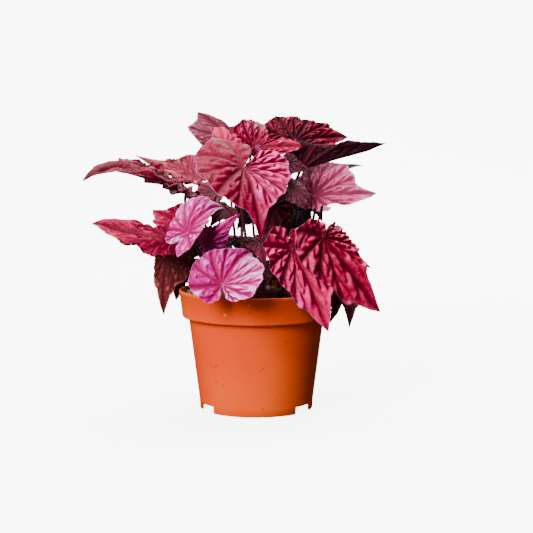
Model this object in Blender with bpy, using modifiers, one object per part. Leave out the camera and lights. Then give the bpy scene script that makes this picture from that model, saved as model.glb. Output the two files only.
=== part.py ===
"""Potted begonia: crinkled crimson leaves on stalks from a creeping rhizome, in a round plastic pot.

Metres, +Z up. The origin is the middle of the pot's base, on the surface that it stands on.
-Y is the plant's front.
"""
import math

import bmesh
import bpy
import numpy as np

MM = 0.001
TOUCH_GAP = 0.3 * MM

# Pot: a 12 cm nursery pot, moulded in one piece
POT_HEIGHT = 93 * MM
RIM_TOP_RADIUS = 60 * MM
RIM_LOW_RADIUS = 57.5 * MM
RIM_BAND = 21 * MM
LIP_RADIUS = 1.1 * MM
BODY_TOP_RADIUS = 52.6 * MM
BODY_LOW_RADIUS = 44.3 * MM
WALL = 1.5 * MM
FOOT_HEIGHT = 6 * MM
FOOT_WALL = 2.6 * MM
PAD_RADIUS = 13 * MM
PAD_SLOPE = 5 * MM
NOTCH_ANGLES = (-152, -32, 88)
NOTCH_WIDTH = 22 * MM
DRAIN_COUNT = 6
DRAIN_RADIUS = 4 * MM
DRAIN_CIRCLE = 29 * MM
POT_STEPS = 32

# Potting mix
SOIL_EDGE = 83.5 * MM
SOIL_CROWN = 86 * MM
SOIL_STEPS = 22

# Rhizome and stalks
RHIZOME = ((-34, 4, 88), (-16, -3, 89), (2, 1, 89), (20, 6, 88), (36, 2, 87))
RHIZOME_RADIUS = 6 * MM
RHIZOME_RINGS = 14
STALK_ROOT_RADIUS = 1.5 * MM
STALK_TIP_RADIUS = 1.05 * MM
STALK_SEGMENTS = 6
SMALL_STALK = 0.85

# Leaf blades
BLADE_THICKNESS = 0.7 * MM
VEIN_ANGLES = (0, 24, 50, 80, 112, 145)
SINUS_ANGLE = 168
OUTLINE_ANGLES = (0, 4, 8, 13, 20, 30, 45, 65, 85, 105, 125, 145, 160, 170, 176)
OUTLINE_RADII = (1, .83, .735, .675, .655, .66, .655, .64, .63, .62, .58, .51, .42, .30, .12)
LOBE_REACH = 0.6
LARGE_RINGS = (0.32, 0.68, 1)
SMALL_RINGS = (0.5, 1)
TIP_ZONE = 16
VEIN_TOOTH = 1.03
BAY_DEPTH = 0.955

LEAF_COLOURS = {
    "crimson": (178, 24, 66),
    "pink": (214, 84, 128),
    "lilac": (205, 84, 160),
    "magenta": (206, 28, 116),
    "maroon": (104, 26, 46),
    "dark": (48, 18, 32),
}


def srgb(red, green, blue):
    """Linear colour from 8-bit display values."""
    values = [c / 255 for c in (red, green, blue)]
    return [c / 12.92 if c < 0.04045 else ((c + 0.055) / 1.055) ** 2.4 for c in values] + [1]


def material(name, colour, roughness):
    """Principled material of one colour."""
    made = bpy.data.materials.new(name)
    made.use_nodes = True
    made.diffuse_color = srgb(*colour)
    shader = made.node_tree.nodes["Principled BSDF"]
    shader.inputs["Base Color"].default_value = srgb(*colour)
    shader.inputs["Roughness"].default_value = roughness
    shader.inputs["Metallic"].default_value = 0
    return made


def add_mesh(name, points, faces, collection, look=None, edges=()):
    """New mesh object in a collection."""
    mesh = bpy.data.meshes.new(name)
    mesh.from_pydata([tuple(p) for p in points], edges, faces)
    made = bpy.data.objects.new(name, mesh)
    collection.objects.link(made)
    if look:
        mesh.materials.append(look)
    return made


def shade(made, angle=40):
    """Smooth shading with sharp edges past the angle."""
    made.data.shade_smooth()
    made.data.set_sharp_from_angle(angle=math.radians(angle))


def freeze(made):
    """Swap an object's modifiers, or a curve, for the mesh that they give."""
    depsgraph = bpy.context.evaluated_depsgraph_get()
    depsgraph.update()
    mesh = bpy.data.meshes.new_from_object(made.evaluated_get(depsgraph))
    name = made.name
    look = made.data.materials[0] if made.data.materials else None
    fixed = bpy.data.objects.new(name + "_mesh", mesh)
    fixed.matrix_world = made.matrix_world
    made.users_collection[0].objects.link(fixed)
    bpy.data.objects.remove(made)
    fixed.name = name
    if look and not mesh.materials:
        mesh.materials.append(look)
    return fixed


def turned(name, profile, steps, collection, look=None):
    """Solid of revolution about Z from (radius, height) pairs that start and end on the axis."""
    points = [(radius, 0, height) for radius, height in profile]
    edges = [(i, i + 1) for i in range(len(points) - 1)]
    made = add_mesh(name, points, (), collection, look, edges)
    screw = made.modifiers.new("turn", "SCREW")
    screw.steps = steps
    screw.render_steps = steps
    screw.use_merge_vertices = True
    screw.merge_threshold = 0.01 * MM
    return made


def cut(made, cutter):
    """Boolean difference that stays on the object."""
    cutter.hide_render = True
    cutter.display_type = "WIRE"
    boolean = made.modifiers.new("cut " + cutter.name, "BOOLEAN")
    boolean.operation = "DIFFERENCE"
    boolean.object = cutter


def wall_radius(height):
    """Inner radius of the pot's wall at a height."""
    ledge = POT_HEIGHT - RIM_BAND
    if height > ledge:
        low = RIM_LOW_RADIUS - WALL
        share = (height - ledge) / (RIM_BAND - LIP_RADIUS)
        return low + (RIM_TOP_RADIUS - 2 * LIP_RADIUS - low) * share
    share = (height - FOOT_HEIGHT) / (ledge - FOOT_HEIGHT)
    return BODY_LOW_RADIUS + (BODY_TOP_RADIUS - BODY_LOW_RADIUS) * share - WALL


def pot_profile():
    """(radius, height) pairs: up the inside, over the lip, down the outside and under the base."""
    ledge = POT_HEIGHT - RIM_BAND
    floor = FOOT_HEIGHT + WALL
    pad = PAD_RADIUS + PAD_SLOPE
    foot_inner = BODY_LOW_RADIUS - FOOT_WALL
    profile = [(0, WALL), (PAD_RADIUS, WALL), (pad, floor), (wall_radius(floor), floor)]
    profile += [(wall_radius(ledge - WALL), ledge - WALL), (wall_radius(ledge + WALL), ledge + WALL)]
    centre = (RIM_TOP_RADIUS - LIP_RADIUS, POT_HEIGHT - LIP_RADIUS)
    for degrees in range(180, -1, -60):
        turn = math.radians(degrees)
        profile.append((centre[0] + LIP_RADIUS * math.cos(turn), centre[1] + LIP_RADIUS * math.sin(turn)))
    profile += [(RIM_LOW_RADIUS + 0.2 * MM, ledge + 2 * MM), (RIM_LOW_RADIUS - 0.6 * MM, ledge + 0.4 * MM)]
    profile += [(RIM_LOW_RADIUS - 1.6 * MM, ledge), (BODY_TOP_RADIUS, ledge - 0.4 * MM)]
    profile += [(BODY_LOW_RADIUS, FOOT_HEIGHT), (BODY_LOW_RADIUS - 0.4 * MM, 0), (foot_inner, 0)]
    profile += [(foot_inner, FOOT_HEIGHT), (pad, FOOT_HEIGHT), (PAD_RADIUS, 0), (0, 0)]
    return profile


def build_pot(parts, cutters):
    """Turned pot with three arc feet and drain holes."""
    pot = turned("pot", pot_profile(), POT_STEPS, parts, material("pot_plastic", (214, 92, 44), 0.42))
    for index, degrees in enumerate(NOTCH_ANGLES):
        turn = math.radians(degrees)
        bpy.ops.mesh.primitive_cube_add(size=1)
        notch = bpy.context.object
        notch.name = f"notch_{index + 1}"
        notch.scale = (14 * MM, NOTCH_WIDTH, 2 * FOOT_HEIGHT)
        notch.location = (BODY_LOW_RADIUS * math.cos(turn), BODY_LOW_RADIUS * math.sin(turn), -0.3 * MM)
        notch.rotation_euler.z = turn
        move_to(notch, cutters)
        cut(pot, notch)
    for index in range(DRAIN_COUNT):
        turn = 2 * math.pi * (index + 0.5) / DRAIN_COUNT
        bpy.ops.mesh.primitive_cylinder_add(vertices=10, radius=DRAIN_RADIUS, depth=12 * MM)
        drain = bpy.context.object
        drain.name = f"drain_{index + 1}"
        drain.location = (DRAIN_CIRCLE * math.cos(turn), DRAIN_CIRCLE * math.sin(turn), FOOT_HEIGHT)
        move_to(drain, cutters)
        cut(pot, drain)
    shade(pot)
    return pot


def move_to(made, collection):
    """Move a new primitive from the scene's own collection."""
    for owner in list(made.users_collection):
        owner.objects.unlink(made)
    collection.objects.link(made)


def soil_relief(x, y):
    """Height of the potting mix's crumbly surface over its plain crown."""
    a = math.sin(190 * x + 1.3) * math.sin(230 * y + 0.4)
    b = math.sin(410 * x - 270 * y + 2.1)
    return (0.9 * a + 0.5 * b) * MM


def build_soil(parts, cutters, rhizome_hole):
    """Potting mix that fills the pot, with a trough for the rhizome."""
    pad = PAD_RADIUS - TOUCH_GAP
    floor = FOOT_HEIGHT + WALL + TOUCH_GAP
    ledge = POT_HEIGHT - RIM_BAND
    profile = [(0, SOIL_CROWN)]
    for share in (0.2, 0.4, 0.6, 0.8, 0.93):
        height = SOIL_CROWN - (SOIL_CROWN - SOIL_EDGE) * share ** 2
        profile.append((share * wall_radius(SOIL_EDGE), height))
    for height in (SOIL_EDGE, ledge + WALL + TOUCH_GAP, ledge - WALL + TOUCH_GAP, floor):
        profile.append((wall_radius(height) - 1.5 * TOUCH_GAP, height))
    profile += [(pad + PAD_SLOPE, floor), (pad, WALL + TOUCH_GAP), (0, WALL + TOUCH_GAP)]
    soil = freeze(turned("soil", profile, SOIL_STEPS, parts, material("potting_mix", (46, 34, 28), 0.95)))
    for vertex in soil.data.vertices:
        at = vertex.co
        if at.z > SOIL_EDGE + 0.01 * MM:
            at.z += soil_relief(at.x, at.y)
    cut(soil, rhizome_hole)
    shade(soil)
    return soil


def curve_through(x, xs, ys):
    """Smooth curve through the points (xs, ys)."""
    xs = np.asarray(xs, float)
    ys = np.asarray(ys, float)
    slopes = np.gradient(ys, xs)
    i = np.clip(np.searchsorted(xs, x) - 1, 0, len(xs) - 2)
    step = xs[i + 1] - xs[i]
    t = np.clip((x - xs[i]) / step, 0, 1)
    start = (2 * t**3 - 3 * t**2 + 1) * ys[i] + (t**3 - 2 * t**2 + t) * slopes[i] * step
    end = (3 * t**2 - 2 * t**3) * ys[i + 1] + (t**3 - t**2) * slopes[i + 1] * step
    return start + end


def margin(spec, angle):
    """Distance of the margin from the hub, as a share of the midrib, at an angle in degrees."""
    away = np.abs(angle)
    wide = np.where(angle > 0, spec["wide"][0], spec["wide"][1])
    lobe = np.where(angle > 0, spec["lobe"][0], spec["lobe"][1])
    wide_share = np.interp(away, (6, 30, 95, 140, 170), (0, 1, 1, 0, 0))
    lobe_share = np.interp(away, (95, 140), (0, 1))
    taper = np.where(angle > 0, spec["taper"][0], spec["taper"][1])
    tip_share = np.interp(away, (0, 4, 20, 45), (0, 0.3, 1, 0))
    shape = curve_through(away, OUTLINE_ANGLES, OUTLINE_RADII) * (1 + taper * tip_share)
    return shape * (1 + (wide - 1) * wide_share + (lobe - 1) * lobe_share)


def midrib(spec):
    """The midrib in the leaf's own upright plane: shares along it, its x and z, and its slope."""
    t = np.linspace(-LOBE_REACH, 1, 65)
    bend = math.radians(spec["bend"])
    sag = math.radians(spec["sag"])
    slope = np.where(t > 0, bend * np.abs(t) ** spec["ease"], -sag * np.abs(t) / LOBE_REACH)
    step = t[1] - t[0]
    x = np.concatenate([[0], np.cumsum((np.cos(slope)[1:] + np.cos(slope)[:-1]) / 2 * step)])
    z = -np.concatenate([[0], np.cumsum((np.sin(slope)[1:] + np.sin(slope)[:-1]) / 2 * step)])
    return t, x - np.interp(0, t, x), z - np.interp(0, t, z), slope


def leaf_points(spec, angle, share, lift=0, fringe=1):
    """Points of the blade's middle surface, at polar places about the hub.

    angle is in degrees from the midrib, + to the leaf's left. share runs from 0 at the hub to 1 at the
    margin. lift raises the surface, and fringe scales the margin, both as shares of the midrib's length.
    """
    angle, share = np.broadcast_arrays(np.asarray(angle, float), np.asarray(share, float))
    reach = share * margin(spec, angle) * fringe
    angle = angle + spec["skew"] * (angle / 180) ** 2
    u = reach * np.cos(np.radians(angle))
    v = reach * np.sin(np.radians(angle))
    left = v >= 0
    out = np.sqrt(v * v + 0.02**2) - 0.02
    fold = np.radians(np.where(left, spec["fold"][0], spec["fold"][1]))
    curl = np.radians(np.where(left, spec["curl"][0], spec["curl"][1])) + 1e-9
    turn = fold + curl * out / LOBE_REACH
    y = (LOBE_REACH / curl * (np.sin(turn) - np.sin(fold)) + np.abs(v) - out) * np.where(left, 1, -1)
    z = -LOBE_REACH / curl * (np.cos(turn) - np.cos(fold)) + lift
    height, count, phase = spec["wave"]
    z = z + height * share**2 * np.sin(np.radians(count * angle + phase))
    twist = np.radians(spec["twist"]) * u
    y, z = y * np.cos(twist) - z * np.sin(twist), y * np.sin(twist) + z * np.cos(twist)
    t, rib_x, rib_z, slope = midrib(spec)
    tilt = np.interp(u, t, slope)
    x = np.interp(u, t, rib_x) + z * np.sin(tilt)
    z = np.interp(u, t, rib_z) + z * np.cos(tilt)
    return to_world(spec, np.stack([x, y, z], -1), rib_x[-1], rib_z[-1])


def to_world(spec, local, tip_x, tip_z):
    """Carry local points so that the hub and the tip land on their places and the blade faces its way."""
    length = math.hypot(tip_x, tip_z)
    along = np.array([tip_x, 0, tip_z]) / length
    across = np.array([0, 1, 0])
    up = np.cross(along, across)
    hub, tip, face = (np.array(spec[key], float) for key in ("hub", "tip", "face"))
    chord = tip - hub
    scale = np.linalg.norm(chord) / length
    world_along = chord / np.linalg.norm(chord)
    world_up = face - face.dot(world_along) * world_along
    world_up /= np.linalg.norm(world_up)
    world_across = np.cross(world_up, world_along)
    turned_points = (local @ along)[..., None] * world_along + (local @ across)[..., None] * world_across
    turned_points = turned_points + (local @ up)[..., None] * world_up
    return (hub + scale * turned_points) * MM


def spoke_angles():
    """Angles of the coarse blade's spokes: both sides of the tip, each main vein and each bay."""
    half = [4, 9, 15]
    for vein, after in zip(VEIN_ANGLES[1:], VEIN_ANGLES[2:] + (SINUS_ANGLE,)):
        half += [vein, (vein + after) / 2]
    half.append(SINUS_ANGLE)
    return np.array([-a for a in reversed(half)] + [0] + half, float)


def blade(spec, parts, look):
    """Pleated blade with a waved, toothed margin, as a sheet of triangles made solid."""
    spokes = spoke_angles()
    veins = np.array([-a for a in reversed(VEIN_ANGLES[1:])] + list(VEIN_ANGLES))
    on_vein = np.abs(spokes[:, None] - veins).min(axis=1) < 1
    near_tip = np.abs(spokes) < TIP_ZONE
    fringe = np.where(near_tip, 1, np.where(on_vein, VEIN_TOOTH, BAY_DEPTH))
    pleat = np.where(near_tip, 0, np.where(on_vein, -0.5, 0.5)) * spec["pleat"]
    rings = SMALL_RINGS if spec["small"] else LARGE_RINGS
    points = [leaf_points(spec, [0], [0])]
    for ring in rings:
        lift = pleat * ring**0.7 * (1.15 - 0.6 * ring)
        points.append(leaf_points(spec, spokes, ring, lift, fringe if ring == 1 else 1))
    count = len(spokes)
    faces = [(0, 1 + i, 2 + i) for i in range(count - 1)]
    for ring in range(len(rings) - 1):
        inner = 1 + ring * count
        outer = inner + count
        for i in range(count - 1):
            if i % 2:
                faces += [(inner + i, outer + i, outer + i + 1), (inner + i, outer + i + 1, inner + i + 1)]
            else:
                faces += [(inner + i, outer + i, inner + i + 1), (outer + i, outer + i + 1, inner + i + 1)]
    made = add_mesh("leaf_" + spec["name"], np.concatenate(points), faces, parts, look)
    solid = made.modifiers.new("thickness", "SOLIDIFY")
    solid.thickness = BLADE_THICKNESS
    solid.offset = 0
    shade(made, 60)
    return made


def rhizome_point(share):
    """Point on the rhizome's axis, in millimetres."""
    stations = np.linspace(0, 1, len(RHIZOME))
    route = np.array(RHIZOME, float)
    return np.array([curve_through(np.array([share]), stations, route[:, i])[0] for i in range(3)])


def stalk_path(spec):
    """Centre line of a leaf stalk, from the rhizome's axis to just under the hub, in millimetres."""
    near = 0.02
    hub, ahead, left, right = leaf_points(spec, [0, 0, 90, -90], [0, near, near, near]) / MM
    normal = np.cross(ahead - hub, left - right)
    normal /= np.linalg.norm(normal)
    droop = math.radians(max(0, -min(spec["fold"])))
    clear = (BLADE_THICKNESS / 2 + TOUCH_GAP + STALK_TIP_RADIUS * math.tan(droop)) / MM + 0.25
    end = hub - normal * clear
    root = rhizome_point(min(max(0.5 + hub[0] / 110, 0.04), 0.96))
    length = np.linalg.norm(end - root)
    lean = spec["lean"]
    if lean is None:
        lean = (0.25 * (hub[0] - root[0]), 0.25 * (hub[1] - root[1]), 0.45 * length)
    rise = root + np.array(lean)
    arrive = end - normal * spec["reach"] * length
    t = np.linspace(0, 1, STALK_SEGMENTS + 1)[:, None]
    path = (1 - t)**3 * root + 3 * (1 - t)**2 * t * rise + 3 * (1 - t) * t**2 * arrive + t**3 * end
    if spec["via"] is not None:
        middle = (root + 3 * rise + 3 * arrive + end) / 8
        path = path + 4 * t * (1 - t) * (np.array(spec["via"]) - middle)
    return path


def tube(name, path, radii, resolution, collection):
    """Round tube with capped ends along a path in millimetres, as a mesh."""
    curve = bpy.data.curves.new(name, "CURVE")
    curve.dimensions = "3D"
    curve.bevel_depth = 1
    curve.bevel_resolution = resolution
    curve.use_fill_caps = True
    spline = curve.splines.new("POLY")
    spline.points.add(len(path) - 1)
    for point, place, radius in zip(spline.points, path, radii):
        point.co = (*(place * MM), 1)
        point.radius = radius
    made = bpy.data.objects.new(name, curve)
    collection.objects.link(made)
    made = freeze(made)
    weld(made)
    return made


def weld(made):
    """Join the points where a curve's caps meet its side."""
    mesh = bmesh.new()
    mesh.from_mesh(made.data)
    bmesh.ops.remove_doubles(mesh, verts=mesh.verts, dist=0.001 * MM)
    bmesh.ops.recalc_face_normals(mesh, faces=mesh.faces)
    mesh.to_mesh(made.data)
    mesh.free()


def rhizome_tube(name, collection, extra=0):
    """Knobbly creeping rhizome with rounded ends, widened all round by extra."""
    shares = np.linspace(0, 1, RHIZOME_RINGS)
    path = np.array([rhizome_point(share) for share in shares])
    ends = np.sqrt(1 - np.abs(2 * shares - 1) ** 6) * 0.75 + 0.25
    knobs = 1 + 0.1 * np.sin(shares * 23)
    return tube(name, path, RHIZOME_RADIUS * ends * knobs + extra, 3, collection)


def build_stems(specs, parts, scratch):
    """Rhizome with every leaf stalk fused to it."""
    stems = rhizome_tube("stems", parts)
    stems.data.materials.append(material("stalk", (112, 58, 56), 0.5))
    for spec in specs:
        path = stalk_path(spec)
        t = np.linspace(0, 1, len(path))
        radii = STALK_ROOT_RADIUS + (STALK_TIP_RADIUS - STALK_ROOT_RADIUS) * t**0.7
        if spec["small"]:
            radii = radii * SMALL_STALK
        tube("stalk_" + spec["name"], path, radii, 1, scratch)
    union = stems.modifiers.new("fuse", "BOOLEAN")
    union.operation = "UNION"
    union.operand_type = "COLLECTION"
    union.collection = scratch
    union.solver = "MANIFOLD"
    stems = freeze(stems)
    for stalk in list(scratch.objects):
        bpy.data.objects.remove(stalk)
    bpy.data.collections.remove(scratch)
    shade(stems)
    return stems


def leaf(name, tone, hub, tip, face, fold=(10, 10), curl=(-20, -20), wide=(0.85, 0.85), lobe=(1, 1), bend=30,
         ease=1.3, taper=(0, 0), skew=0, sag=20, twist=0, wave=(0.015, 4, 0), pleat=0.03, small=False, lean=None,
         via=None, reach=0.3):
    """One leaf's design, in millimetres and degrees.

    hub is where the stalk meets the blade, tip is the far end of the midrib, and face is the way that the
    upper side looks. Pairs are for the leaf's left and right halves: fold is the rise of a half beside the
    midrib, curl is how far it turns on towards its margin, wide and lobe scale the half and its basal lobe,
    and taper is how much its shoulder fills out beside the tip. bend is the midrib's droop, ease how late
    along it the droop comes, skew the turn of the basal notch to the leaf's left, sag the droop of the basal
    lobes, twist the turn about the midrib. wave is the margin's height, count and phase, pleat the depth
    between the veins. lean, via and reach steer the stalk: how it leaves the rhizome, where its middle
    passes, and how straight it meets the hub.
    """
    return dict(name=name, tone=tone, hub=hub, tip=tip, face=face, fold=fold, curl=curl, wide=wide, lobe=lobe,
                bend=bend, ease=ease, taper=taper, skew=skew, sag=sag, twist=twist, wave=wave, pleat=pleat,
                small=small, lean=lean, via=via, reach=reach)


# Leaves, from the top down, then those inside the plant and at its back
LEAVES = (
    leaf("center_heart", "crimson", (-9, -25, 189), (3, -50, 136), (0.3, -0.72, 0.62), curl=(-5, -30),
         wide=(0.9, 0.96), lobe=(0.85, 1.1), bend=50, skew=-50, twist=-12),
    leaf("top_pink", "pink", (-23, 2, 201), (-31, 30, 217), (0, -0.86, 0.5), fold=(8, 4), wide=(0.62, 0.55),
         lobe=(0.6, 0.6), bend=80, small=True),
    leaf("top_left", "maroon", (-18, 78, 207), (-49, 88, 229), (-0.55, -0.72, 0.4), fold=(12, 15),
         curl=(-20, -15), wide=(1.05, 0.4), lobe=(0.45, 0.4), bend=25, taper=(0.5, 0.1)),
    leaf("top_young", "crimson", (-2, 20, 202), (3, 48, 220), (0.2, -0.92, 0.34), fold=(22, 18),
         curl=(-10, -20), wide=(0.95, 0.62), lobe=(0.5, 0.5), bend=75, pleat=0.07, small=True),
    leaf("top_rolled", "magenta", (1, 2.2, 202.6), (36, 0.2, 203.6), (0, -0.85, 0.5), fold=(0, 0),
         curl=(-90, -90), wide=(0.36, 0.36), lobe=(0.3, 0.4), bend=20, taper=(0.35, 0.35), pleat=0.05,
         small=True),
    leaf("top_right_rear", "maroon", (31, 38, 207), (74, 56, 209), (-0.1, -0.85, 0.5), fold=(5, 5),
         wide=(0.75, 0.6), lobe=(1.15, 0.6), bend=20, taper=(0.2, 0.2)),
    leaf("top_right_trough", "dark", (35, 12, 187), (101, 5, 206), (0, 0.03, 1), fold=(46, 64),
         curl=(-15, 0), wide=(0.6, 0.5), lobe=(0.4, 0.4), bend=-3, taper=(0.25, 0.25), sag=0,
         wave=(0.008, 4, 0), via=(20, 24, 145)),
    leaf("right_pink", "pink", (45, 4, 166), (93, -6, 168), (0, -0.76, 0.65), fold=(6, 9), curl=(-20, -5),
         wide=(1.06, 0.5), lobe=(0.8, 0.6), bend=5, taper=(0, 0.35), sag=35, twist=15),
    leaf("right_rear_tip", "dark", (50, 48, 175), (87, 60, 186), (0, -0.3, 0.95), wide=(0.7, 0.7), bend=35,
         small=True),
    leaf("right_mauve", "maroon", (28, -19, 172), (43, -8, 156), (0, -0.75, 0.66), fold=(0, 8),
         curl=(-50, -25), wide=(0.85, 0.75), lobe=(1, 0.9), bend=60, small=True, via=(27, 2, 138)),
    leaf("left_long", "crimson", (-53, 0, 170), (-130, -30, 177), (-0.05, -0.22, 0.97), fold=(4, -2),
         curl=(-24, -10), wide=(0.5, 0.6), lobe=(0.5, 0.35), bend=75, ease=2.4, taper=(0.2, 0.2), sag=-22,
         twist=-25, wave=(0.03, 6, 40), reach=0.2),
    leaf("left_rear", "crimson", (-46, 53, 175), (-98, 58, 195), (0.05, -0.42, 0.9), fold=(20, 20),
         curl=(0, 0), wide=(0.75, 0.75), lobe=(0.3, 0.7), bend=-20),
    leaf("left_low", "crimson", (-63, -20, 133.5), (-127, -5, 144), (0, -0.43, 0.9), fold=(0, 15),
         curl=(0, -20), wide=(0.6, 0.42), lobe=(0.6, 0.8), bend=-10, taper=(0.2, 0.2), twist=-30),
    leaf("left_low_small", "pink", (-55, 12, 142), (-82, 20, 153), (-0.2, -0.9, 0.3), bend=35,
         taper=(0.4, 0), small=True),
    leaf("left_lilac", "lilac", (-51, -54, 142), (-23, -28, 157), (-0.35, -0.78, 0.52), fold=(10, 30),
         curl=(-75, -5), wide=(1.25, 0.65), lobe=(0.85, 0.85), bend=90, skew=-15, twist=20,
         lean=(-12, -10, 18)),
    leaf("left_magenta", "magenta", (-37, -43, 132), (-11, -50, 156), (-0.1, -0.98, 0.1), fold=(-36, -30),
         curl=(-30, -50), wide=(0.6, 0.7), bend=45, sag=60, twist=10),
    leaf("front_lilac", "lilac", (-24.5, -71, 105), (-2.5, -34, 124), (-0.13, -0.83, 0.54), fold=(25, 18),
         curl=(-16, -5), wide=(0.78, 0.95), lobe=(0.62, 0.68), bend=80, skew=39, twist=5),
    leaf("front_inner", "maroon", (3, -20, 132), (7, -44, 114), (-0.2, -0.87, 0.45), wide=(0.85, 0.6),
         lobe=(0.6, 0.8), small=True),
    leaf("front_right", "crimson", (28, -48, 129), (54, -59, 68), (0.45, -0.75, 0.45), fold=(-5, 12),
         curl=(-25, -5), wide=(0.64, 0.72), lobe=(0.5, 0.7), bend=12, taper=(0.2, 0.2), sag=-10, twist=35),
    leaf("right_coral", "crimson", (51, -45, 138), (95, -30, 79), (0.3, -0.9, 0.3), fold=(-25, 20),
         curl=(-55, -22), wide=(0.74, 0.66), lobe=(0.45, 0.38), bend=8, taper=(0.02, 0.35), skew=-82,
         sag=-15, twist=20, pleat=0.012, lean=(28, 18, 40)),
    leaf("right_low_tip", "maroon", (68, 2, 99), (72, -10, 63), (0.6, -0.75, 0.2), wide=(0.8, 0.68),
         lobe=(0.5, 0.5), small=True, lean=(8, 4, 26), reach=0.15),
    leaf("right_low_small", "dark", (66, 24, 101), (58.5, 26, 62), (0.6, -0.75, 0.25), wide=(0.5, 0.5),
         lobe=(0.5, 0.5), small=True, lean=(8, 4, 26), reach=0.15),
    leaf("right_olive_small", "dark", (67, 48, 115), (94, 62, 102), (0.1, -0.65, 0.75), wide=(0.85, 0.95),
         bend=15, small=True),
    leaf("left_hanging", "maroon", (-69, 6, 121), (-73.5, 23, 69), (-0.3, -0.95, 0.1), fold=(15, -35),
         curl=(-20, -50), wide=(0.7, 0.9), lobe=(0.55, 0.55), bend=50),
    leaf("left_hanging_small", "dark", (-57, 25, 105), (-65, 40, 78), (-0.3, -0.9, 0.1), wide=(0.5, 0.5),
         small=True),
    leaf("inner_low", "maroon", (1, -25, 112), (7, -40, 92), (0, -0.9, 0.5), lobe=(0.5, 0.5), small=True),
    leaf("inner_center", "maroon", (13.5, -3, 158), (6.5, -9, 126), (0, -0.9, 0.5), wide=(0.62, 0.68),
         lobe=(0.6, 0.6), small=True),
    leaf("inner_right", "dark", (33, 14, 153), (45, 4, 139), (0, -0.9, 0.5), wide=(0.78, 1), small=True),
    leaf("inner_left", "dark", (-24, -6, 155.5), (-36, -15, 141), (-0.1, -0.8, 0.6), wide=(0.8, 0.8),
         lobe=(0.6, 0.6), small=True),
    leaf("inner_small", "crimson", (23, -9, 191), (43, -15, 184), (0, -0.9, 0.5), wide=(0.6, 0.8),
         lobe=(0.6, 0.6), small=True),
    leaf("inner_edge", "dark", (-20, -16, 129), (0, -17, 134), (0, -0.3, 0.95), wide=(0.5, 0.5),
         lobe=(0.5, 0.5), small=True),
    leaf("inner_left_high", "maroon", (-33, 18, 167), (-55, 20, 160), (-0.1, -0.6, 0.75), wide=(0.9, 0.9),
         lobe=(0.7, 0.7), small=True),
    leaf("inner_left_low", "dark", (-44, 32, 124), (-54, 31, 110), (-0.2, -0.8, 0.5), wide=(0.8, 0.8),
         lobe=(0.8, 0.8), small=True),
    leaf("inner_middle", "dark", (-1, 25, 156), (-16, 28, 136), (-0.1, -0.85, 0.5), wide=(0.9, 1),
         lobe=(0.8, 0.8), small=True),
    leaf("inner_right_low", "dark", (24, 34, 151), (24, 30, 126), (0.1, -0.85, 0.5), wide=(1.1, 1.1),
         lobe=(0.7, 0.7), small=True),
    leaf("back_left_high", "crimson", (-44, 61, 148), (-70, 101, 138), (-0.3, 0.35, 0.9), lobe=(0.6, 0.6),
         bend=55, small=True),
    leaf("back_center_high", "maroon", (4, 72, 160), (10, 118, 136), (0.05, 0.45, 0.9), lobe=(0.6, 0.6),
         bend=50, small=True),
    leaf("back_right_high", "pink", (34, 66, 152), (55, 104, 136), (0.35, 0.4, 0.85), lobe=(0.7, 0.6),
         bend=55, small=True),
    leaf("back_left_mid", "maroon", (-44, 58, 110), (-66, 94, 84), (-0.5, 0.5, 0.7), bend=50, small=True),
    leaf("back_center_mid", "crimson", (-4, 68, 126), (-8, 114, 96), (-0.1, 0.6, 0.8), bend=50, small=True),
    leaf("back_right_mid", "crimson", (38, 62, 116), (62, 92, 82), (0.5, 0.55, 0.7), bend=45, small=True),
    leaf("back_low", "dark", (8, 64, 100), (12, 96, 66), (0.1, 0.8, 0.6), bend=40, small=True),
)


def main():
    """Model the potted begonia."""
    for old in list(bpy.data.objects):
        bpy.data.objects.remove(old)
    parts = bpy.data.collections.new("potted_begonia")
    cutters = bpy.data.collections.new("cutters")
    scratch = bpy.data.collections.new("stalks")
    for collection in (parts, cutters, scratch):
        bpy.context.scene.collection.children.link(collection)
    build_pot(parts, cutters)
    build_soil(parts, cutters, rhizome_tube("rhizome_hole", cutters, TOUCH_GAP))
    build_stems(LEAVES, parts, scratch)
    looks = {tone: material("leaf_" + tone, colour, 0.38) for tone, colour in LEAF_COLOURS.items()}
    for spec in LEAVES:
        blade(spec, parts, looks[spec["tone"]])


main()
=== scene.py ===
"""Looks of the potted begonia: fine leaves, stalks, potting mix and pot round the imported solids."""

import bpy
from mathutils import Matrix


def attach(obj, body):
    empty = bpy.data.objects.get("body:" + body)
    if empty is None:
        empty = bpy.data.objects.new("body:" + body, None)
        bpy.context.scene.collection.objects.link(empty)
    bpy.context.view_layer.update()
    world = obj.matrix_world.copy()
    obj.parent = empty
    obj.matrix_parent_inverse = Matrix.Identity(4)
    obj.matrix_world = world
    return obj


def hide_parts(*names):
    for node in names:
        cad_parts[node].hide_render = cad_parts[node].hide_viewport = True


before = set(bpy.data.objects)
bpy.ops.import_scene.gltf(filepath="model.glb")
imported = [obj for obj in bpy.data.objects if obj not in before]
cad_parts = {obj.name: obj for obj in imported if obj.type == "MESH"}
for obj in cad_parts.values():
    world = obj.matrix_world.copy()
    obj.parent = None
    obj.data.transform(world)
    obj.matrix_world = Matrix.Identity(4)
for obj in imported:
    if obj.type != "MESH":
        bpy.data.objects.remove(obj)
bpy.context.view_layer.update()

import math

import bmesh
import bpy
import numpy as np
from mathutils import Vector

MM = 0.001
TOUCH_GAP = 0.3
LATTICE = 64

# Camera, fitted to the pot's ellipses and the leaf tips of the photograph
CAMERA_AT = (0.008, -1.2, 0.245)
CAMERA_PITCH = 6.4
FOCAL_PIXELS = 1554
IMAGE_PIXELS = 533
SENSOR_WIDTH = 36

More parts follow.
